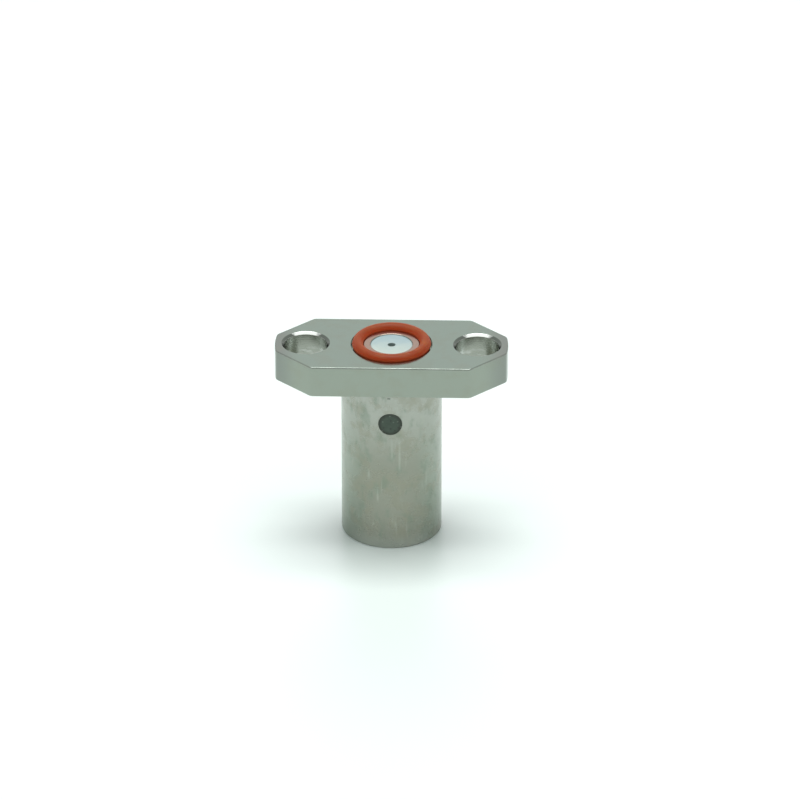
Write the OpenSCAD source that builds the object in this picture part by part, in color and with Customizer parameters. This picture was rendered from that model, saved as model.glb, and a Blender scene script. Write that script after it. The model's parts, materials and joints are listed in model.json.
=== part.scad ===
// Blind-mate coaxial jack with a two-hole flange, standing on its open mating end.
// The origin is the centre of the mating end, +Z runs to the rear face and +X along the flange.
// All sizes are in millimetres.

/* [Flange] */
// Distance between the two screw holes
hole_spacing = 10.3; // [9.5:0.1:12]
// From the centre of each screw hole to the flange's end
hole_end = 1.85; // [1.7:0.05:3]
// Diameter of the screw holes
hole_d = 2.6; // [2.2:0.1:3]
// Chamfer at both rims of the screw holes
hole_chamfer = 0.15; // [0.05:0.01:0.3]
// How far the flange's long sides stand outside the barrel
side_rim = 0.125; // [0.05:0.005:1]
// Thickness of the flange
flange_t = 1.95; // [1.4:0.05:3]
// Length of each corner cut along the flange
corner_x = 2.25; // [1.6:0.05:3]
// Length of each corner cut across the flange
corner_y = 2.15; // [1.6:0.05:2.8]
// Rounding of the flange's upright corners
corner_round = 0.4; // [0.2:0.05:0.8]
// Edge break round the rear face of the flange
edge_break = 0.06; // [0.04:0.02:0.2]

/* [Barrel] */
// Outer diameter of the barrel
barrel_d = 6.05; // [5.6:0.05:7]
// Length of the barrel from the mating end to the flange
barrel_l = 10.45; // [9:0.05:14]
// Chamfer on the outer edge of the mating end
front_break = 0.04; // [0.02:0.02:0.3]
// Width of the flat ring left at the mating end
mouth_land = 0.34; // [0.1:0.01:0.4]
// Half angle of the lead-in cone
lead_angle = 30; // [20:1:45]
// Diameter of the mating bore
bore_d = 4.1; // [3.4:0.05:4.4]
// Depth of the mating bore, from the mating end to the reference plane
mating_depth = 5; // [4:0.1:6]

/* [Insulator] */
// Diameter of the insulator's front part
bead_front_d = 3; // [2.7:0.05:3.3]
// Length of the insulator's front part
bead_front_l = 2.4; // [1.6:0.1:3]
// Diameter of the insulator's rear part
bead_rear_d = 2.5; // [2.2:0.05:2.8]
// How far the insulator's rear end lies below the lip
bead_recess = 0.05; // [0:0.01:0.15]
// Thickness of the closed entry at the insulator's rear
guide_web = 0.4; // [0.2:0.05:0.8]
// How far the entry hole is wider than the tail socket, per side
guide_room = 0.03; // [0.01:0.01:0.08]

/* [Centre contact] */
// Outer diameter of the front socket
socket_d = 1.3; // [1.15:0.05:1.6]
// Length of the front socket ahead of the reference plane
socket_l = 2.6; // [2:0.1:3.4]
// Diameter of the front pin hole
pin_hole_d = 0.92; // [0.8:0.02:1.04]
// Solid length between the front pin hole and the reference plane
socket_floor = 0.5; // [0.4:0.05:0.8]
// Solid length left behind the front slots
slot_root = 0.7; // [0.5:0.05:1]
// Width of the front slots
slot_w = 0.12; // [0.08:0.01:0.2]
// Diameter of the stem inside the insulator's front part
stem_d = 0.9; // [0.8:0.02:1.1]
// Diameter of the tail inside the insulator's rear part
tail_d = 0.75; // [0.65:0.01:0.8]
// Diameter of the tail pin hole
tail_hole_d = 0.4; // [0.3:0.02:0.5]
// Depth of the tail pin hole
tail_hole_l = 2; // [1.4:0.1:2.4]
// Length of the tail slots
tail_slot_l = 1.7; // [1:0.1:2]
// Width of the tail slots
tail_slot_w = 0.1; // [0.06:0.01:0.16]
// Chamfer on the contact's end edges
tip_break = 0.06; // [0.02:0.01:0.08]
// Diameter of the neck that the resin grips
neck_d = 0.5; // [0.4:0.02:0.6]

/* [Resin fill] */
// Diameter of the fill in the barrel's wall
fill_d = 1.42; // [1.1:0.02:1.8]
// From the flange's front face down to the middle of the fill
fill_drop = 1.92; // [1.2:0.01:2.6]
// Diameter of the fill inside the insulator
stalk_d = 0.7; // [0.4:0.05:0.9]

/* [O-ring and groove] */
// Thickness of the ring's round section
ring_section = 0.66; // [0.5:0.01:0.85]
// Wall of the lip between the insulator and the groove
lip_wall = 0.4; // [0.25:0.05:0.6]
// Depth of the groove
groove_depth = 0.33; // [0.25:0.01:0.6]
// Room between the ring and the groove's outer wall
groove_room = 0.08; // [0.05:0.01:0.3]

/* [Clearances] */
// Gap between round pieces that fit in each other, per side
fit_gap = 0.01; // [0.005:0.005:0.02]
// Gap between the ring and the lip that it surrounds
ring_gap = 0.04; // [0.01:0.005:0.08]
// End gap behind the contact's steps
tail_gap = 0.05; // [0.02:0.01:0.1]
// Length of the contact's neck beyond the resin, at each end
neck_room = 0.05; // [0.02:0.01:0.1]

/* [Hidden] */
$fn = 96;

// Extra length that lets a cutter pass through a face
cut_over = 0.1;
// Half angle of a twist drill's point
drill_point = 59;
// Number of flats that stand for the rounding of each upright corner
corner_flats = 3;

total_h = barrel_l + flange_t;
flange_l = hole_spacing + 2 * hole_end;
flange_w = barrel_d + 2 * side_rim;

// The corner cuts lie on two pairs of parallel planes: their turn from X and the distance across a pair
cut_angle = atan2(corner_x, corner_y);
cut_across = (flange_l - 2 * corner_x) * cos(cut_angle) + flange_w * sin(cut_angle);
// Turn from X of the flange's round end where it meets a corner cut
end_angle = cut_angle - acos(cut_across / flange_l);

mouth_r = barrel_d / 2 - front_break - mouth_land;
lead_l = (mouth_r - bore_d / 2) / tan(lead_angle);

// Levels of the insulator's step, the fill and the contact's ends
step_z = mating_depth + bead_front_l;
fill_z = barrel_l - fill_drop;
tip_z = mating_depth - socket_l;
bead_z = total_h - bead_recess;
tail_z = bead_z - guide_web - tail_gap;

// Seats for the insulator in the body
front_seat_r = bead_front_d / 2 + fit_gap;
rear_seat_r = bead_rear_d / 2 + fit_gap;

lip_r = rear_seat_r + lip_wall;
ring_r = lip_r + ring_gap + ring_section / 2;
groove_r = ring_r + ring_section / 2 + groove_room;
ring_z = total_h - groove_depth + fit_gap + ring_section / 2;

neck_l = stalk_d + 2 * neck_room;

function drill_tip(d) = d / 2 / tan(drill_point);

// Disc turned from the bar, with its rear edge broken
module turned_disc() {
    rotate_extrude()
        polygon([
            [0, 0], [flange_l / 2, 0], [flange_l / 2, flange_t - edge_break],
            [flange_l / 2 - edge_break, flange_t], [0, flange_t]
        ]);
}

// Bar that runs along Y, with the two long edges of its rear face broken
module broken_bar(width) {
    half = width / 2;
    rotate([90, 0, 0])
        linear_extrude(2 * flange_l, center = true)
            polygon([
                [-half, 0], [half, 0], [half, flange_t - edge_break], [half - edge_break, flange_t],
                [edge_break - half, flange_t], [-half, flange_t - edge_break]
            ]);
}

// Distance across the pair of flats that round the corner between two faces, at a turn between theirs
function flat_across(turn, from, from_across, to, to_across) =
    2 * corner_round + ((from_across - 2 * corner_round) * sin(to - turn)
        + (to_across - 2 * corner_round) * sin(turn - from)) / sin(to - from);

// What is left inside the flats of the four like corners between two faces
module rounded_corners(from, from_across, to, to_across) {
    intersection_for(step = [1:corner_flats], side = [-1, 1]) {
        turn = from + (to - from) * step / (corner_flats + 1);
        rotate(side * turn) broken_bar(flat_across(turn, from, from_across, to, to_across));
    }
}

// Octagonal flange: the turned disc, which leaves the two ends round, milled to three crossed bars
module flange_blank() {
    translate([0, 0, barrel_l])
        intersection() {
            turned_disc();
            rotate(90) broken_bar(flange_w);
            rotate(cut_angle) broken_bar(cut_across);
            rotate(-cut_angle) broken_bar(cut_across);
            rounded_corners(end_angle, flange_l, cut_angle, cut_across);
            rounded_corners(cut_angle, cut_across, 90, flange_w);
        }
}

// Turned outside of the barrel, carried on into the flange
module barrel_blank() {
    rotate_extrude()
        polygon([
            [0, 0], [barrel_d / 2 - front_break, 0], [barrel_d / 2, front_break],
            [barrel_d / 2, barrel_l + flange_t / 2], [0, barrel_l + flange_t / 2]
        ]);
}

// Screw hole with a chamfer at each rim
module screw_hole() {
    rim_r = hole_d / 2 + hole_chamfer + cut_over;
    translate([0, 0, barrel_l])
        rotate_extrude()
            polygon([
                [0, -cut_over], [rim_r, -cut_over], [hole_d / 2, hole_chamfer],
                [hole_d / 2, flange_t - hole_chamfer], [rim_r, flange_t + cut_over], [0, flange_t + cut_over]
            ]);
}

// Space that the insulator seats in, from the reference plane out through the rear face
module insulator_seat() {
    rotate_extrude()
        polygon([
            [0, mating_depth], [front_seat_r, mating_depth], [front_seat_r, step_z],
            [rear_seat_r, step_z], [rear_seat_r, total_h + cut_over], [0, total_h + cut_over]
        ]);
}

// Mating bore with its lead-in cone
module mating_bore() {
    rotate_extrude()
        polygon([
            [0, -cut_over], [mouth_r + cut_over * tan(lead_angle), -cut_over], [bore_d / 2, lead_l],
            [bore_d / 2, mating_depth], [0, mating_depth]
        ]);
}

// Round cutter from the axis out through the front side of the barrel, at the level of the fill
module side_drill(d) {
    translate([0, 0, fill_z])
        rotate([90, 0, 0])
            cylinder(d = d, h = barrel_d);
}

// Flat-bottomed groove in the rear face, round the lip
module ring_groove() {
    translate([0, 0, total_h - groove_depth])
        difference() {
            cylinder(r = groove_r, h = groove_depth + cut_over);
            translate([0, 0, -cut_over]) cylinder(r = lip_r, h = groove_depth + 3 * cut_over);
        }
}

// Body turned and milled from one bar of stainless steel
module flange_body() {
    color([0.6, 0.64, 0.6])
        difference() {
            union() {
                flange_blank();
                barrel_blank();
            }
            for (side = [-1, 1])
                translate([side * hole_spacing / 2, 0, 0]) screw_hole();
            mating_bore();
            insulator_seat();
            ring_groove();
            side_drill(fill_d + 2 * fit_gap);
        }
}

// Stepped bead, pushed in from the mating end against the step, its rear end just below the lip
module insulator() {
    stem_bore_r = stem_d / 2 + fit_gap;
    tail_bore_r = tail_d / 2 + fit_gap;
    guide_r = tail_hole_d / 2 + guide_room;
    color([0.86, 0.9, 0.9])
        difference() {
            rotate_extrude()
                polygon([
                    [stem_bore_r, mating_depth], [bead_front_d / 2, mating_depth], [bead_front_d / 2, step_z],
                    [bead_rear_d / 2, step_z], [bead_rear_d / 2, bead_z], [guide_r, bead_z],
                    [guide_r, bead_z - guide_web], [tail_bore_r, bead_z - guide_web],
                    [tail_bore_r, step_z], [stem_bore_r, step_z]
                ]);
            side_drill(stalk_d + 2 * fit_gap);
        }
}

// Turned outside of the contact: front socket, stem and tail
module contact_blank() {
    rotate_extrude()
        polygon([
            [0, tip_z], [socket_d / 2 - tip_break, tip_z], [socket_d / 2, tip_z + tip_break],
            [socket_d / 2, mating_depth], [stem_d / 2, mating_depth], [stem_d / 2, step_z - tail_gap],
            [tail_d / 2, step_z - tail_gap], [tail_d / 2, tail_z - tip_break],
            [tail_d / 2 - tip_break, tail_z], [0, tail_z]
        ]);
}

// Drilled pin hole along +Z from the level 0, with a chamfered mouth and the drill's point
module pin_hole(d, depth) {
    mouth = d / 2 + tip_break + cut_over;
    rotate_extrude()
        polygon([
            [0, -cut_over], [mouth, -cut_over], [d / 2, tip_break],
            [d / 2, depth], [0, depth + drill_tip(d)]
        ]);
}

// Saw cut across the whole contact, from the level 0 along +Z
module saw_cut(width, depth) {
    translate([-width / 2, -socket_d, -cut_over])
        cube([width, 2 * socket_d, depth + cut_over]);
}

// Ring round the contact at the level of the fill
module neck_ring(inner_r, outer_r, length) {
    translate([0, 0, fill_z])
        difference() {
            cylinder(r = outer_r, h = length, center = true);
            cylinder(r = inner_r, h = length + 2 * cut_over, center = true);
        }
}

// Spring contact with a four-leaf socket in front and a two-leaf socket at its tail
module center_contact() {
    color([0.85, 0.68, 0.32])
        difference() {
            contact_blank();
            translate([0, 0, tip_z]) {
                pin_hole(pin_hole_d, socket_l - socket_floor);
                for (turn = [45, 135])
                    rotate(turn) saw_cut(slot_w, socket_l - slot_root);
            }
            translate([0, 0, tail_z])
                mirror([0, 0, 1]) {
                    pin_hole(tail_hole_d, tail_hole_l);
                    saw_cut(tail_slot_w, tail_slot_l);
                }
            neck_ring(neck_d / 2, socket_d, neck_l);
        }
}

// Resin in the barrel's side hole, flush outside, with a stalk to the ring that locks the contact's neck
module epoxy_fill() {
    grip_r = neck_d / 2 + fit_gap;
    stalk_l = (front_seat_r + barrel_d / 2) / 2;
    color([0.29, 0.33, 0.29])
        union() {
            difference() {
                intersection() {
                    cylinder(d = barrel_d, h = total_h);
                    side_drill(fill_d);
                }
                insulator_seat();
            }
            difference() {
                union() {
                    translate([0, 0, fill_z])
                        rotate([90, 0, 0])
                            cylinder(d = stalk_d, h = stalk_l);
                    neck_ring(grip_r, tail_d / 2, stalk_d);
                }
                translate([0, 0, fill_z])
                    cylinder(r = grip_r, h = neck_l, center = true);
            }
        }
}

// Round ring lying on the groove's floor
module o_ring() {
    color([0.58, 0.26, 0.16])
        translate([0, 0, ring_z])
            rotate_extrude()
                translate([ring_r, 0])
                    circle(d = ring_section);
}

flange_body();
insulator();
center_contact();
epoxy_fill();
o_ring();
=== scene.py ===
import json
import math

import bmesh
import bpy
from mathutils import Matrix, Vector


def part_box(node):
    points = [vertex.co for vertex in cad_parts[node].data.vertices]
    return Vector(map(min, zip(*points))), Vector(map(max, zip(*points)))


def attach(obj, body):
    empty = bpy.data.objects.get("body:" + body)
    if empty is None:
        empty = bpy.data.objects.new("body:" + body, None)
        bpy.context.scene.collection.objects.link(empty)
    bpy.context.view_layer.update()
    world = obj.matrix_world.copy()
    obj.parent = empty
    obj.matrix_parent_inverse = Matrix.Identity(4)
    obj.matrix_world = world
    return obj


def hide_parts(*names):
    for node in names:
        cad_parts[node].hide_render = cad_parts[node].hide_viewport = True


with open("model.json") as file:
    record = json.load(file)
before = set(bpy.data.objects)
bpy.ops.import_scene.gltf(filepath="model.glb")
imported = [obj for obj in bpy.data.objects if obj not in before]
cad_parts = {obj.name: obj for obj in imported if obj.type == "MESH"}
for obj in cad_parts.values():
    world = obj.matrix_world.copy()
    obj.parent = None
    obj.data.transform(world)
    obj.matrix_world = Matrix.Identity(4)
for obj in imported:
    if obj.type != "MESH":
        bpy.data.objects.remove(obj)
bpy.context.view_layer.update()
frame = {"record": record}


# Flange body: the outer conductor, turned from one bar of stainless steel and bored from both ends. The
# flange's sides and corners are milled, its ends keep the round of the bar, and the seal's groove is faced
# into its rear. Every edge is lightly deburred. Two screws hold the rear face to a housing.
MM = 0.001
mounts = {mount["name"]: mount for mount in frame["record"]["mounts"]}
rear_z = mounts["rear_face"]["pos_m"][2]
flange_z = mounts["flange_front"]["pos_m"][2]
hole_x = mounts["screw_holes"]["dims"]["spacing_x_mm"] / 2 * MM
hole_r = mounts["screw_holes"]["dims"]["hole_r_mm"] * MM
barrel_r = mounts["barrel"]["dims"]["r_mm"] * MM
bore_r = mounts["mating_bore"]["dims"]["r_mm"] * MM
reference_z = mounts["mating_bore"]["dims"]["length_mm"] * MM

flange_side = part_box("flange_body")[1].y
end_margin = 1.85 * MM
bar_r = hole_x + end_margin
corner_along = 2.25 * MM
corner_across = 2.15 * MM
corner_run = 0.15 * MM
edge_break = 0.08 * MM
hole_chamfer = 0.15 * MM
hole_rim_r = hole_r + hole_chamfer
groove_r = 2.44 * MM
groove_depth = 0.33 * MM
groove_z = rear_z - groove_depth
lip_r = 1.66 * MM
lip_break = 0.03 * MM
rear_seat_r = 1.26 * MM
front_seat_r = 1.51 * MM
step_z = 7.4 * MM
mouth_r = 2.645 * MM
lead_angle = math.radians(30)
lead_z = (mouth_r - bore_r) / math.tan(lead_angle)
front_break = 0.04 * MM
fill_z = 8.53 * MM
side_hole_r = 0.72 * MM
side_hole_reach = 0.9 * MM

deburr = 0.02 * MM
rim = 0.08 * MM
hold_reach = 0.03 * MM
long_edge = 4 * hold_reach
round_steps = 3
edge_steps = 6
bar_steps = 120
barrel_steps = 192
hole_steps = 96
weld = 0.0005 * MM
crease = math.radians(40)
corner_bend = math.radians(10)
level = 0.99


def hold(bm, edges):
    """Splits each long edge close to both ends, so that the face along it keeps its shade up to the rim."""
    for edge in list(edges):
        if edge.calc_length() > long_edge:
            start, end = edge.verts
            _, near = bmesh.utils.edge_split(edge, start, hold_reach / edge.calc_length())
            rest = next(part for part in near.link_edges if end in part.verts)
            bmesh.utils.edge_split(rest, end, hold_reach / rest.calc_length())


def lathe(bm, profile, steps, x=0.0, closed=False):
    """Turns a profile of (radius, height, corner rounding) about the upright axis at x."""
    verts = [bm.verts.new((x + radius, 0, height)) for radius, height, _ in profile]
    for pair in zip(verts, verts[1:] + verts[:1] if closed else verts[1:]):
        bm.edges.new(pair)
    for vert, (_, _, rounding) in zip(verts, profile):
        if rounding:
            bmesh.ops.bevel(bm, geom=[vert], offset=rounding, offset_type="OFFSET", segments=round_steps,
                            profile=0.5, affect="VERTICES", material=-1)
    hold(bm, [edge for edge in bm.edges if edge.is_wire])
    wire = [edge for edge in bm.edges if edge.is_wire]
    ends = {vert for edge in wire for vert in edge.verts}
    bmesh.ops.spin(bm, geom=[*ends, *wire], cent=(x, 0, 0), axis=(0, 0, 1), dvec=(0, 0, 0),
                   angle=2 * math.pi, steps=steps, use_merge=True)


def close_shell(bm):
    """Merges the seams of a shell and turns its faces outwards."""
    bmesh.ops.remove_doubles(bm, verts=bm.verts[:], dist=weld)
    bmesh.ops.recalc_face_normals(bm, faces=bm.faces[:])


def carve(blank, tool, operation="DIFFERENCE"):
    """The blank with the tool cut out of it or joined to it, or what the two have in common."""
    solids = []
    for bm in (blank, tool):
        close_shell(bm)
        solid = bpy.data.objects.new("carved", bpy.data.meshes.new("carved"))
        bm.to_mesh(solid.data)
        bm.free()
        bpy.context.scene.collection.objects.link(solid)
        solids.append(solid)
    cut = solids[0].modifiers.new("cut", "BOOLEAN")
    cut.operation = operation
    cut.solver = "EXACT"
    cut.object = solids[1]
    shaped = bmesh.new()
    shaped.from_object(solids[0], bpy.context.evaluated_depsgraph_get())
    for solid in solids:
        mesh = solid.data
        bpy.data.objects.remove(solid)
        bpy.data.meshes.remove(mesh)
    return shaped


def drill(radius, start, end, steps):
    """A round tool along Y at the level of the resin, from start to end."""
    bm = bmesh.new()
    lying = Matrix.Translation((0, (start + end) / 2, fill_z)) @ Matrix.Rotation(math.pi / 2, 4, "X")
    bmesh.ops.create_cone(bm, cap_ends=True, segments=steps, radius1=radius, radius2=radius,
                          depth=abs(end - start), matrix=lying)
    return bm


def add_piece(bm, name, node, material):
    """Makes the object of a shell that stands for one CAD node."""
    close_shell(bm)
    for face in bm.faces:
        face.smooth = True
    for edge in bm.edges:
        edge.smooth = edge.calc_face_angle(0) < crease
    mesh = bpy.data.meshes.new(name)
    bm.to_mesh(mesh)
    bm.free()
    mesh.materials.append(material)
    piece = bpy.data.objects.new(name, mesh)
    bpy.context.scene.collection.objects.link(piece)
    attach(piece, "root")
    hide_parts(node)


body = bmesh.new()
bmesh.ops.create_circle(body, cap_ends=True, radius=bar_r, segments=bar_steps,
                        matrix=Matrix.Translation((0, 0, flange_z)))
cut_turn = math.atan2(corner_along, corner_across)
cut_reach = (bar_r - corner_along) * math.cos(cut_turn) + flange_side * math.sin(cut_turn)
mill_cuts = [(turn, flange_side) for turn in (math.pi / 2, -math.pi / 2)]
mill_cuts += [(turn, cut_reach) for turn in (cut_turn, -cut_turn, math.pi - cut_turn, math.pi + cut_turn)]
for turn, reach in mill_cuts:
    facing = Vector((math.cos(turn), math.sin(turn), 0))
    bmesh.ops.bisect_plane(body, geom=[*body.verts, *body.edges, *body.faces], plane_co=facing * reach,
                           plane_no=facing, clear_outer=True)
corners = [vert for vert in body.verts if vert.calc_edge_angle(0) > corner_bend]
bmesh.ops.bevel(body, geom=corners, offset=corner_run, offset_type="OFFSET", segments=edge_steps,
                profile=0.5, affect="VERTICES", material=-1)
hold(body, body.edges)
raised = bmesh.ops.extrude_face_region(body, geom=body.faces[:])["geom"]
raised = [vert for vert in raised if isinstance(vert, bmesh.types.BMVert)]
bmesh.ops.translate(body, verts=raised, vec=(0, 0, rear_z - flange_z))


def rim_edges(bm, height):
    """The edges that lie at one height."""
    return [edge for edge in bm.edges if all(abs(vert.co.z - height) < weld for vert in edge.verts)]


for height, rounding, steps in ((rear_z, edge_break, edge_steps), (flange_z, deburr, round_steps)):
    bmesh.ops.bevel(body, geom=rim_edges(body, height), offset=rounding, offset_type="OFFSET",
                    segments=steps, profile=0.5, affect="EDGES", material=-1)
for height in (flange_z + deburr + hold_reach, rear_z - edge_break - hold_reach):
    bmesh.ops.bisect_plane(body, geom=[*body.verts, *body.edges, *body.faces], plane_co=(0, 0, height),
                           plane_no=(0, 0, 1))
caps = [face for face in body.faces if abs(face.normal.z) > level and len(face.verts) > 4]
for cap in caps:
    if cap.calc_center_median().z > flange_z + deburr:
        bmesh.ops.inset_individual(body, faces=[cap], thickness=hold_reach, use_even_offset=True)
bmesh.ops.delete(body, geom=caps, context="FACES_ONLY")

lathe(body, [
    (groove_r + rim, rear_z, 0), (groove_r, rear_z, deburr), (groove_r, groove_z, deburr),
    (lip_r, groove_z, deburr), (lip_r, rear_z, deburr), (rear_seat_r, rear_z, lip_break),
    (rear_seat_r, step_z, 0), (front_seat_r, step_z, 0), (front_seat_r, reference_z, deburr),
    (bore_r, reference_z, deburr), (bore_r, lead_z, deburr), (mouth_r, 0, deburr),
    (barrel_r - front_break, 0, deburr), (barrel_r, front_break, deburr),
    (barrel_r, fill_z - side_hole_reach, 0), (barrel_r, fill_z + side_hole_reach, 0),
    (barrel_r, flange_z, 0),
], barrel_steps)
for x in (-hole_x, hole_x):
    lathe(body, [
        (hole_rim_r + rim, rear_z, 0), (hole_rim_r, rear_z, deburr),
        (hole_r, rear_z - hole_chamfer, deburr), (hole_r, flange_z + hole_chamfer, deburr),
        (hole_rim_r, flange_z, deburr), (hole_rim_r + rim, flange_z, 0),
    ], hole_steps, x)
bmesh.ops.remove_doubles(body, verts=body.verts[:], dist=weld)
for height in (rear_z, flange_z):
    open_rims = [edge for edge in rim_edges(body, height) if edge.is_boundary]
    bmesh.ops.triangle_fill(body, edges=open_rims, use_beauty=True)
body = carve(body, drill(side_hole_r, 0, -2 * barrel_r, hole_steps))


class Shade:
    """A socket of a material's nodes. Arithmetic on it adds Math nodes."""

    def __init__(self, tree, socket=None):
        self.tree = tree
        self.socket = socket

    def plug(self, node, inputs):
        """Sets or links the inputs of a node."""
        for key, value in inputs.items():
            if isinstance(value, Shade):
                self.tree.links.new(value.socket, node.inputs[key])
            else:
                node.inputs[key].default_value = value

    def node(self, kind, settings=None, inputs=None, output=0):
        """Adds a node with its settings first and its inputs next, and gives one of its outputs."""
        made = self.tree.nodes.new(kind)
        for name, value in (settings or {}).items():
            setattr(made, name, value)
        self.plug(made, inputs or {})
        return Shade(self.tree, made.outputs[output])

    def out(self, name):
        """Another output of the same node."""
        return Shade(self.tree, self.socket.node.outputs[name])

    def math(self, operation, *values):
        """One Math node on these values."""
        return self.node("ShaderNodeMath", {"operation": operation}, dict(enumerate(values)))

    def __add__(self, other):
        return self.math("ADD", self, other)

    def __radd__(self, other):
        return self.math("ADD", other, self)

    def __sub__(self, other):
        return self.math("SUBTRACT", self, other)

    def __rsub__(self, other):
        return self.math("SUBTRACT", other, self)

    def __mul__(self, other):
        return self.math("MULTIPLY", self, other)

    def __rmul__(self, other):
        return self.math("MULTIPLY", other, self)

    def __pow__(self, other):
        return self.math("POWER", self, other)

    def __abs__(self):
        return self.math("ABSOLUTE", self)

    def between(self, low, high):
        """0 below low and 1 above high, with a smooth step between them."""
        return self.node("ShaderNodeMapRange", {"interpolation_type": "SMOOTHSTEP"},
                         {"Value": self, "From Min": low, "From Max": high})

    def mix(self, first, second):
        """The first colour where this value is 0 and the second where it is 1.

        The node's sockets share their names between its data types, so they go by number here.
        """
        return self.node("ShaderNodeMix", {"data_type": "RGBA"}, {0: self, 6: first, 7: second}, 2)

    def millimetres(self):
        """The place on the piece, in millimetres."""
        place = self.node("ShaderNodeTexCoord", output="Object")
        return self.node("ShaderNodeVectorMath", {"operation": "SCALE"}, {0: place, "Scale": 1 / MM})

    def stretched(self, scale):
        """This vector with each axis scaled."""
        return self.node("ShaderNodeMapping", None, {"Vector": self, "Scale": scale})

    def noise(self, scale, detail=3.0, roughness=0.5):
        """Cloudy noise at this place, with so many lumps to a millimetre."""
        return self.node("ShaderNodeTexNoise", None,
                         {"Vector": self, "Scale": scale, "Detail": detail, "Roughness": roughness})

    def lines(self, density):
        """Uneven tool marks along this value, with so many to a millimetre."""
        return self.node("ShaderNodeTexNoise", {"noise_dimensions": "1D"},
                         {"W": self, "Scale": density, "Detail": 2.0})

    def bump(self, depth):
        """A normal from this height, whose full range is so many metres deep."""
        return self.node("ShaderNodeBump", None, {"Height": self, "Distance": depth})


def new_material(name):
    """A material, and the start of its nodes."""
    material = bpy.data.materials.new(name)
    material.use_nodes = True
    return material, Shade(material.node_tree)


def coat(material, nodes, inputs):
    """Sets the inputs of the material's own shader."""
    nodes.plug(material.node_tree.nodes["Principled BSDF"], inputs)


steel_faced = (0.280, 0.346, 0.299, 1)
steel_milled = (0.298, 0.331, 0.286, 1)
steel_turned = (0.372, 0.388, 0.350, 1)
steel_lower_painted_shade = (0.268, 0.277, 0.232, 1)
steel_cool = (0.266, 0.302, 0.252, 1)
steel_foot_painted_light = (0.335, 0.358, 0.318, 1)
steel_ends = (0.240, 0.258, 0.240, 1)
steel_lip_painted_reflection = (0.385, 0.275, 0.225, 1)
steel_bore_painted_light = (0.530, 0.555, 0.520, 1)
steel_bore_front_back = (0.320, 0.335, 0.295, 1)
steel_bore_painted_smear = (0.430, 0.440, 0.410, 1)
steel_burnish_and_highlight = (0.420, 0.445, 0.422, 1)
steel_painted_dark = (0.130, 0.150, 0.130, 1)
steel_edge_painted_shade = (0.132, 0.153, 0.135, 1)
steel_edge_painted_shade_soft = (0.176, 0.196, 0.176, 1)
steel_tarnish = (0.270, 0.268, 0.208, 1)
steel_dulled = (0.202, 0.249, 0.200, 1)
steel_bright = (0.375, 0.400, 0.345, 1)

# Where each finish, painted shade and painted light of the steel fades in: places and reaches in
# millimetres, squares in square millimetres, and facings as the upright part of the surface's direction.
barrel_top = (flange_z / MM - 0.05, flange_z / MM)
lower_shade_height = (5, 9.6)
shade_gap_height = (2, 6)
shade_gap_side = (1.6, 3.0)
cool_side = (1.2, 2.6)
foot_height = (0.1, 1.2)
foot_side = (2.0, 2.6)
front_of_barrel = (-2, -1)
wipe_marks = ((0.1, 6.0, 7.6), (0.56, 5.2, 7.6), (-1.3, 4.5, 5.4), (1.87, 8.0, 9.1))
wipe_edge = (0.02, 0.1)
wipe_fade = 0.4
dark_spot_x = -0.08
dark_spot_z = 10.28
dark_spot_side = (0.06, 0.12)
dark_spot_rise = (0.03, 0.07)
flange_end = (5.4, 6.8)
flange_rim = (2.9, 3.05)
corner_cut = (4.7, 4.9)
lip_edge = (lip_r / MM - 0.01, lip_r / MM + 0.01)
lip_top = (rear_z / MM - 0.1, rear_z / MM - 0.05)
sink_edge = (hole_rim_r / MM - 0.01, hole_rim_r / MM + 0.02)
ream_edge = (hole_r / MM, hole_r / MM + 0.02)
smear_height = (11.2, 11.6)
burnish_and_highlight_square = (1.2, 1.3)
front_back_square = (0.75, 1.15)
facing_flat = (0.6, 0.8)
facing_out = (0.1, 0.3)
facing_up = (0.93, 0.99)
marks_per_mm = 14
mark_depth = 0.0012 * MM

# How much of the steel under it each finish, painted shade and painted light covers. The corner cuts lack a
# part of the rim's painted dark line.
end_cover = 0.8
shade_gap_cover = 0.5
tarnish_cover = 0.2
barrel_tarnish_cover = 0.4
dull_cover = 0.55
drawn_cover = 0.6
foot_cover = 0.75
wipe_cover = 0.45
dark_spot_cover = 0.8
corner_relief = 0.6

steel, nodes = new_material("satin_stainless")
at = nodes.millimetres()
sides = nodes.node("ShaderNodeSeparateXYZ", None, {0: at}, "X")
across = sides.out("Y")
up = sides.out("Z")
radius = (sides * sides + across * across) ** 0.5
direction = nodes.node("ShaderNodeTexCoord", output="Normal")
facing_z = nodes.node("ShaderNodeSeparateXYZ", None, {0: direction}, "Z")
flat = abs(facing_z).between(*facing_flat)
on_barrel = 1 - up.between(*barrel_top)
tool_marks = flat * radius.lines(marks_per_mm) + (1 - flat) * up.lines(marks_per_mm)
stains = at.noise(0.9, 4.0, 0.6).between(0.42, 0.68)
dull_spots = at.stretched((1, 1, 0.6)).noise(1.4, 4.0, 0.6).between(0.5, 0.7)
drawn = at.stretched((5, 5, 0.4)).noise(1.0).between(0.58, 0.74) * at.noise(0.5).between(0.48, 0.56)
# Painted shade: the lower barrel is darker and warmer towards the bottom, for the shadowed table it
# reflects. It is cooler at its sides, and half as dark at the sides from about 4 mm up.
shade_gap = abs(sides).between(*shade_gap_side) * up.between(*shade_gap_height)
lower_shade = (1 - up.between(*lower_shade_height)) * (1 - shade_gap_cover * shade_gap)
at_end = abs(sides).between(*flange_end)
at_side = abs(sides).between(*cool_side)
at_foot = (1 - up.between(*foot_height)) * (1 - abs(sides).between(*foot_side))
in_front = 1 - across.between(*front_of_barrel)
on_lip = (1 - radius.between(*lip_edge)) * up.between(*lip_top)

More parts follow.
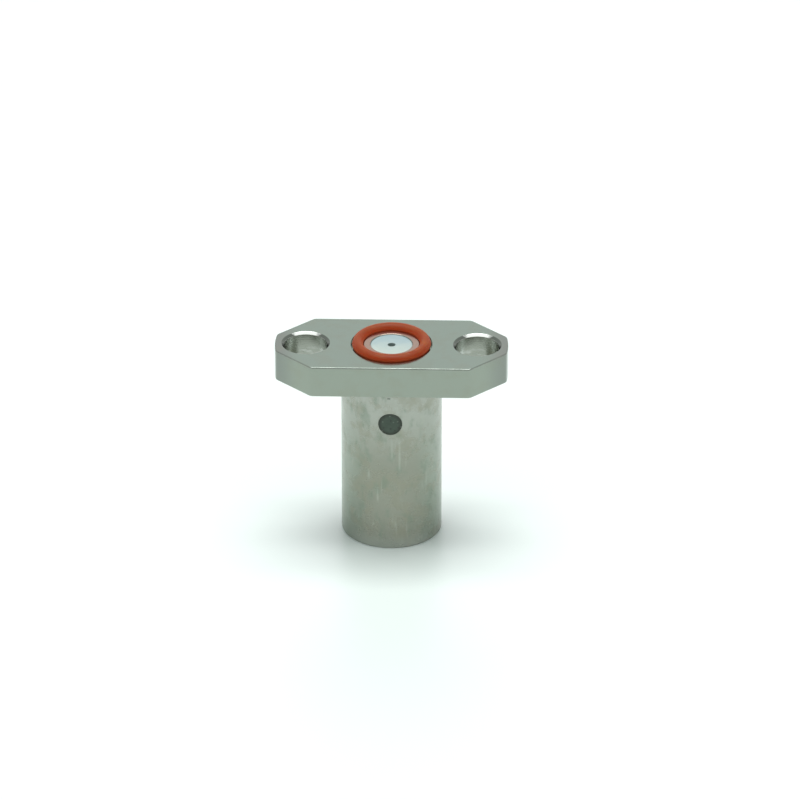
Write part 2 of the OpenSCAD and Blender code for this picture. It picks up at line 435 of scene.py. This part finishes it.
colour = flat.mix(steel_milled, steel_faced)
colour = (at_end * end_cover).mix(colour, steel_ends)
colour = on_barrel.mix(colour, lower_shade.mix(steel_turned, at_side.mix(steel_lower_painted_shade, steel_cool)))
colour = (stains * (tarnish_cover + barrel_tarnish_cover * on_barrel)).mix(colour, steel_tarnish)
colour = (dull_spots * on_barrel * dull_cover).mix(colour, steel_dulled)
colour = (drawn * on_barrel * drawn_cover).mix(colour, steel_bright)
# Painted light: the lowest millimetre of the barrel is lighter away from its sides, against the shadowed
# table that it reflects.
colour = (at_foot * foot_cover).mix(colour, steel_foot_painted_light)
for x, low, high in wipe_marks:
    wiped = up.between(low, low + wipe_fade) * (1 - up.between(high - wipe_fade, high))
    wiped = wiped * (1 - abs(sides - x).between(*wipe_edge))
    colour = (wiped * in_front * wipe_cover).mix(colour, steel_bright)
# A small dark spot painted on the front of the barrel, just under the flange.
dark_spot = (1 - abs(sides - dark_spot_x).between(*dark_spot_side)) * (1 - abs(up - dark_spot_z).between(*dark_spot_rise))
colour = (dark_spot * in_front * dark_spot_cover).mix(colour, steel_painted_dark)
# Painted reflection: the flat top of the lip is a warm pink, for the red ring mirrored in it.
colour = (on_lip * flat).mix(colour, steel_lip_painted_reflection)
# Painted shade: the flange's upward rounded edges are darkened in uneven patches, which dims their
# highlight. It is weaker at the corner cuts.
rounded = facing_z.between(*facing_out) * (1 - facing_z.between(*facing_up))
rounded = rounded * radius.between(*flange_rim) * (1 - corner_relief * abs(sides).between(*corner_cut))
colour = rounded.mix(colour, at.noise(1.1, 2.0).between(0.4, 0.65).mix(steel_edge_painted_shade, steel_edge_painted_shade_soft))

from_hole = abs(sides) - hole_x / MM
from_hole = (from_hole * from_hole + across * across) ** 0.5
sunk = 1 - from_hole.between(*sink_edge)
reamed = 1 - from_hole.between(*ream_edge)
burnish_and_highlight = (across * across).between(*burnish_and_highlight_square)
front_back = (across * across).between(*front_back_square)
painted_smears = at.stretched((1, 1, 2.5)).noise(2.0).between(0.5, 0.62) * (1 - up.between(*smear_height))
# Painted shade darkens the chamfers round the screw holes at their sides. Their front and back arcs are
# burnished, and their lighter colour is partly a painted highlight.
colour = sunk.mix(colour, burnish_and_highlight.mix(steel_painted_dark, steel_burnish_and_highlight))
# Painted light in the screw holes: their walls are lighter at the sides, against the shade there. The front
# and back walls carry lighter smears of painted reflection low down.
colour = reamed.mix(colour, front_back.mix(steel_bore_painted_light, painted_smears.mix(steel_bore_front_back, steel_bore_painted_smear)))
satin = at.noise(30)
coat(steel, nodes, {
    "Metallic": 1.0,
    "Base Color": colour,
    "Roughness": 0.11 + on_barrel * 0.12 + 0.05 * stains + 0.05 * tool_marks + 0.09 * reamed,
    "Normal": (tool_marks * 0.7 + satin * 0.3).bump(mark_depth),
})
add_piece(body, "steel_body", "flange_body", steel)


# Insulator: a stepped bead turned from white fluoropolymer. It is pushed in from the mating end against
# the body's step, ends just below the lip at the rear, and has a small entry hole there for the
# feedthrough's pin.
bead_front_r = 1.5 * MM
bead_rear_r = 1.25 * MM
bead_recess = 0.05 * MM
bead_z = rear_z - bead_recess
bead_round = 0.04 * MM
stem_bore_r = 0.46 * MM
tail_bore_r = 0.385 * MM
entry_r = 0.23 * MM
entry_depth = 0.4 * MM
entry_z = bead_z - entry_depth
cross_bore_r = 0.36 * MM

bead = bmesh.new()
lathe(bead, [
    (stem_bore_r, reference_z, deburr), (bead_front_r, reference_z, deburr), (bead_front_r, step_z, 0),
    (bead_rear_r, step_z, 0), (bead_rear_r, bead_z, bead_round), (entry_r, bead_z, bead_round),
    (entry_r, entry_z, deburr), (tail_bore_r, entry_z, 0), (tail_bore_r, step_z, 0),
    (stem_bore_r, step_z, 0),
], hole_steps, closed=True)
bead = carve(bead, drill(cross_bore_r, 0, -2 * bead_front_r, hole_steps))

bead_white = (0.515, 0.590, 0.545, 1)
bead_far_painted_shade = (0.350, 0.465, 0.495, 1)
marks_per_mm = 16
mark_depth = 0.003 * MM
light_depth = 0.15 * MM

fluoropolymer, nodes = new_material("white_fluoropolymer")
at = nodes.millimetres()
sides = nodes.node("ShaderNodeSeparateXYZ", None, {0: at}, "X")
across = sides.out("Y")
tool_marks = ((sides * sides + across * across) ** 0.5).lines(marks_per_mm)
# Painted shade: the bead is darker and bluer towards its far side, in uneven clouds.
cloud = (at.noise(2.2) * 0.5 + across * 0.4).between(-0.2, 0.7)
coat(fluoropolymer, nodes, {
    "Base Color": cloud.mix(bead_white, bead_far_painted_shade),
    "Roughness": 0.42 + 0.12 * tool_marks,
    "Normal": (tool_marks * 0.8 + at.noise(25) * 0.2).bump(mark_depth),
    "Subsurface Weight": 0.15,
    "Subsurface Radius": (1.0, 1.0, 1.0),
    "Subsurface Scale": light_depth,
})
add_piece(bead, "white_bead", "insulator", fluoropolymer)


# Centre contact: one turned pin of spring alloy, gold plated, with a four-leaf socket at the mating end and
# a two-leaf socket at its tail. A neck in the middle lets the resin lock it in the bead.
socket_r = 0.65 * MM
stem_r = 0.45 * MM
tail_r = 0.375 * MM
neck_r = 0.25 * MM
neck_half = 0.4 * MM
pin_hole_r = mounts["front_pin_socket"]["dims"]["r_mm"] * MM
tail_hole_r = mounts["tail_pin_socket"]["dims"]["r_mm"] * MM
tip_z = 2.4 * MM
end_gap = 0.05 * MM
tail_z = entry_z - end_gap
tail_step_z = step_z - end_gap
pin_hole_z = 4.5 * MM
tail_hole_depth = 2 * MM
tail_hole_z = tail_z - tail_hole_depth
tip_break = 0.06 * MM
drill_angle = math.radians(31)
drill_slope = math.tan(drill_angle)
slot_width = 0.12 * MM
slot_z = 4.3 * MM
tail_slot_width = 0.1 * MM
tail_slot_depth = 1.7 * MM
tail_slot_z = tail_z - tail_slot_depth
blade_length = 4 * socket_r

contact = bmesh.new()
lathe(contact, [
    (0, pin_hole_z + pin_hole_r * drill_slope, 0), (pin_hole_r, pin_hole_z, 0),
    (pin_hole_r, tip_z + tip_break, deburr), (pin_hole_r + tip_break, tip_z, deburr),
    (socket_r - tip_break, tip_z, deburr), (socket_r, tip_z + tip_break, deburr),
    (socket_r, reference_z, deburr), (stem_r, reference_z, 0),
    (stem_r, tail_step_z, 0), (tail_r, tail_step_z, 0),
    (tail_r, fill_z - neck_half, 0), (neck_r, fill_z - neck_half, 0),
    (neck_r, fill_z + neck_half, 0), (tail_r, fill_z + neck_half, 0),
    (tail_r, tail_z - tip_break, deburr), (tail_r - tip_break, tail_z, deburr),
    (tail_hole_r + tip_break, tail_z, deburr), (tail_hole_r, tail_z - tip_break, deburr),
    (tail_hole_r, tail_hole_z, 0), (0, tail_hole_z - tail_hole_r * drill_slope, 0),
], hole_steps)


def saw_blade(width, low, high, turn):
    """A flat blade across the contact's axis, between two heights."""
    bm = bmesh.new()
    place = (Matrix.Translation((0, 0, (low + high) / 2)) @ Matrix.Rotation(turn, 4, "Z")
             @ Matrix.Diagonal((width, blade_length, high - low, 1)))
    bmesh.ops.create_cube(bm, size=1, matrix=place)
    return bm


for turn in (math.pi / 4, -math.pi / 4):
    contact = carve(contact, saw_blade(slot_width, tip_z - socket_r, slot_z, turn))
contact = carve(contact, saw_blade(tail_slot_width, tail_slot_z, tail_z + socket_r, 0))

gold_pale = (0.80, 0.58, 0.24, 1)
gold_deep = (0.72, 0.47, 0.16, 1)
marks_per_mm = 20
mark_depth = 0.001 * MM

gold, nodes = new_material("gold_plate")
at = nodes.millimetres()
tool_marks = nodes.node("ShaderNodeSeparateXYZ", None, {0: at}, "Z").lines(marks_per_mm)
cloud = at.noise(2.5).between(0.35, 0.7)
coat(gold, nodes, {
    "Metallic": 1.0,
    "Base Color": cloud.mix(gold_pale, gold_deep),
    "Roughness": 0.2 + 0.1 * cloud + 0.05 * tool_marks,
    "Normal": (tool_marks * 0.7 + at.noise(40) * 0.3).bump(mark_depth),
})
add_piece(contact, "spring_contact", "center_contact", gold)


# Resin fill: grey epoxy injected through the barrel's side hole and the bead into the contact's neck, wiped
# flush with the barrel while wet and cured, with a darker rim and fine bubbles and grains at its face.
fill_r = 0.71 * MM
stalk_r = 0.35 * MM
grip_r = 0.26 * MM


def post(radius, height, steps):
    """A round upright form about the axis, centred at the level of the resin."""
    bm = bmesh.new()
    bmesh.ops.create_cone(bm, cap_ends=True, segments=steps, radius1=radius, radius2=radius,
                          depth=height, matrix=Matrix.Translation((0, 0, fill_z)))
    return bm


resin_fill = drill(fill_r, 0, -2 * barrel_r, hole_steps)
resin_fill = carve(resin_fill, post(barrel_r, rear_z, 2 * barrel_steps), "INTERSECT")
resin_fill = carve(resin_fill, post(rear_seat_r, rear_z, barrel_steps))
resin_fill = carve(resin_fill, drill(stalk_r, 0, -2 * rear_seat_r, hole_steps), "UNION")
resin_fill = carve(resin_fill, post(tail_r, 2 * stalk_r, hole_steps), "UNION")
resin_fill = carve(resin_fill, post(grip_r, 2 * neck_half, hole_steps))

resin_dark = (0.050, 0.078, 0.054, 1)
resin_pale = (0.072, 0.102, 0.076, 1)
resin_rim = (0.032, 0.042, 0.028, 1)
resin_pit = (0.022, 0.028, 0.020, 1)
resin_grain = (0.24, 0.27, 0.23, 1)
rim_reach = (0.44, 0.66)
specks_per_mm = 4.5
grain_size = (0.12, 0.28)
grain_kind = (0.72, 0.76)
grain_cover = 0.5
pit_size = (0.15, 0.35)
pit_kind = (0.22, 0.26)
pit_cover = 0.7
face_depth = 0.02 * MM

resin, nodes = new_material("grey_resin")
at = nodes.millimetres()
sides = nodes.node("ShaderNodeSeparateXYZ", None, {0: at}, "X")
above = sides.out("Z") - fill_z / MM
near_rim = ((sides * sides + above * above) ** 0.5).between(*rim_reach)
cloud = at.noise(4.0, 4.0).between(0.35, 0.7)
on_face = nodes.node("ShaderNodeCombineXYZ", None, {"X": sides, "Y": above})
speck = nodes.node("ShaderNodeTexVoronoi", {"voronoi_dimensions": "2D"},
                   {"Vector": on_face, "Scale": specks_per_mm})
kind = nodes.node("ShaderNodeSeparateColor", None, {0: speck.out("Color")})
grains = (1 - speck.between(*grain_size)) * kind.between(*grain_kind)
pits = (1 - speck.between(*pit_size)) * (1 - kind.between(*pit_kind))
colour = near_rim.mix(cloud.mix(resin_dark, resin_pale), resin_rim)
colour = (pits * pit_cover).mix(colour, resin_pit)
coat(resin, nodes, {
    "Base Color": (grains * grain_cover).mix(colour, resin_grain),
    "Roughness": 0.42 + 0.2 * cloud,
    "Normal": (at.noise(6.0, 4.0) * 0.8 + (grains - pits) * 0.2).bump(face_depth),
})
add_piece(resin_fill, "resin_plug", "epoxy_fill", resin)


# O-ring: moulded from red silicone rubber in two halves, so that a fine flash line runs round it inside
# and outside. It lies in the rear face's groove, close round the lip, and stands proud until the flange is
# screwed down.
ring_low, ring_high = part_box("o_ring")
ring_section_r = (ring_high.z - ring_low.z) / 2
ring_z = (ring_high.z + ring_low.z) / 2
ring_r = ring_high.x - ring_section_r
flash = 0.012 * MM
section_steps = 40

ring = bmesh.new()
standing = Matrix.Translation((ring_r, 0, ring_z)) @ Matrix.Rotation(math.pi / 2, 4, "X")
bmesh.ops.create_circle(ring, segments=section_steps, radius=ring_section_r, matrix=standing)
for vert in ring.verts:
    if abs(vert.co.z - ring_z) < weld:
        vert.co.x += math.copysign(flash, vert.co.x - ring_r)
bmesh.ops.spin(ring, geom=[*ring.verts, *ring.edges], cent=(0, 0, 0), axis=(0, 0, 1), dvec=(0, 0, 0),
               angle=2 * math.pi, steps=barrel_steps, use_merge=True)

silicone_red = (0.298, 0.052, 0.012, 1)
silicone_pale = (0.325, 0.076, 0.023, 1)
silicone_lower_painted_light = (0.560, 0.060, 0.008, 1)
silicone_foot_painted_light = (0.700, 0.110, 0.032, 1)
dust = (0.55, 0.36, 0.28, 1)
dust_cover = 0.5
foot_rise = 0.19 * MM
skin_depth = 0.006 * MM
light_depth = 0.4 * MM

silicone, nodes = new_material("red_silicone")
at = nodes.millimetres()
cloud = at.noise(1.6, 4.0).between(0.35, 0.7)
lint = at.noise(9.0).between(0.72, 0.8)
up = nodes.node("ShaderNodeSeparateXYZ", None, {0: at}, "Z")
# Painted light: from its top down to its middle and below, the ring turns a brighter, deeper red, against
# the shade there. It is brightest at its foot, for light thrown up from the steel.
proud = up.between(ring_z / MM, ring_high.z / MM)
foot = 1 - up.between(ring_z / MM, (ring_z + foot_rise) / MM)
colour = proud.mix(silicone_lower_painted_light, cloud.mix(silicone_red, silicone_pale))
colour = foot.mix(colour, silicone_foot_painted_light)
coat(silicone, nodes, {
    "Base Color": (lint * dust_cover).mix(colour, dust),
    "Roughness": 0.42 + 0.14 * cloud,
    "Normal": (at.noise(14.0, 4.0) * 0.7 + cloud * 0.3).bump(skin_depth),
    "Specular IOR Level": 0.15,
    "Subsurface Weight": 0.7,
    "Subsurface Radius": (1.0, 0.25, 0.1),
    "Subsurface Scale": light_depth,
})
add_piece(ring, "seal_ring", "o_ring", silicone)


# Studio: a plain white table that runs out of the picture, a soft panel over the part and a little behind
# it, a second one towards the camera, and an even white surround, which the bright metal shows.
floor_half = 2.0
table_white = (0.90, 0.975, 0.945, 1)
table_lift = 0.04
surround_white = (1, 1, 1, 1)
surround_fill = (0.060, 0.110, 0.098, 1)
panels = {
    "top_panel": {"size": (0.34, 0.22), "place": (0.0, 0.06, 0.45), "power": 1.92},
    "front_panel": {"size": (0.74, 0.20), "place": (0.0, -0.18, 0.45), "power": 0.604},
}

table = bmesh.new()
bmesh.ops.create_grid(table, x_segments=1, y_segments=1, size=floor_half)
floor_mesh = bpy.data.meshes.new("table")
table.to_mesh(floor_mesh)
table.free()
floor = bpy.data.objects.new("table", floor_mesh)
bpy.context.scene.collection.objects.link(floor)


def seen_ray(nodes):
    """1 for what the camera sees, straight or in a bright surface, and 0 for light that only fills."""
    path = nodes.node("ShaderNodeLightPath", output="Is Camera Ray")
    mirrored = path.math("MAXIMUM", path.out("Is Glossy Ray"), path.out("Is Transmission Ray"))
    not_scattered = path.math("LESS_THAN", path.out("Diffuse Depth"), 0.5)
    return path.math("MAXIMUM", path, mirrored * not_scattered)


table_top, nodes = new_material("white_table")
coat(table_top, nodes, {
    "Base Color": table_white,
    "Roughness": 0.7,
    "Specular IOR Level": 0.2,
    "Coat Weight": 1.0,
    "Coat Roughness": 0.35,
    "Coat IOR": 2.4,
    "Emission Color": seen_ray(nodes),
    "Emission Strength": table_lift,
})
floor_mesh.materials.append(table_top)

surround = bpy.data.worlds.new("white_surround")
surround.use_nodes = True
bpy.context.scene.world = surround
nodes = Shade(surround.node_tree)
backdrop = seen_ray(nodes).mix(surround_fill, surround_white)
nodes.plug(surround.node_tree.nodes["Background"], {"Color": backdrop})

for name, setting in panels.items():
    panel_light = bpy.data.lights.new(name, "AREA")
    panel_light.shape = "RECTANGLE"
    panel_light.size, panel_light.size_y = setting["size"]
    panel_light.energy = setting["power"]
    panel = bpy.data.objects.new(name, panel_light)
    panel.location = setting["place"]
    panel.rotation_euler = (-Vector(setting["place"])).to_track_quat("-Z", "Y").to_euler()
    bpy.context.scene.collection.objects.link(panel)


# Camera: a long lens at the photograph's height and side, aimed so that the part stands at its place in
# the frame.
image_px = 800
sensor_mm = 36.0
focal_px = 6503
camera_turn = math.radians(1.63)
camera_rise = math.radians(28.86)
camera_roll = math.radians(-0.05)
camera_distance = 392.7 * MM
aim = Vector((0, 0, rear_z / 2))
aim_px = (391.59, 434.28)

level_reach = math.cos(camera_rise)
back = Vector((math.sin(camera_turn) * level_reach, -math.cos(camera_turn) * level_reach,
               math.sin(camera_rise)))
right = Vector((math.cos(camera_turn), math.sin(camera_turn), 0))
upright = back.cross(right)
sideways = math.atan2(aim_px[0] - image_px / 2, focal_px)
downward = math.atan2(aim_px[1] - image_px / 2, focal_px)
axes = Matrix((right, upright, back)).transposed()
axes = Matrix.Rotation(sideways, 3, upright) @ axes
axes = Matrix.Rotation(downward, 3, axes.col[0]) @ axes
axes = Matrix.Rotation(camera_roll, 3, axes.col[2]) @ axes
lens = bpy.data.cameras.new("camera")
lens.sensor_width = sensor_mm
lens.lens = focal_px * sensor_mm / image_px
camera = bpy.data.objects.new("camera", lens)
camera.matrix_world = Matrix.Translation(aim + back * camera_distance) @ axes.to_4x4()
bpy.context.scene.collection.objects.link(camera)
bpy.context.scene.camera = camera
bpy.context.scene.view_settings.view_transform = "Standard"
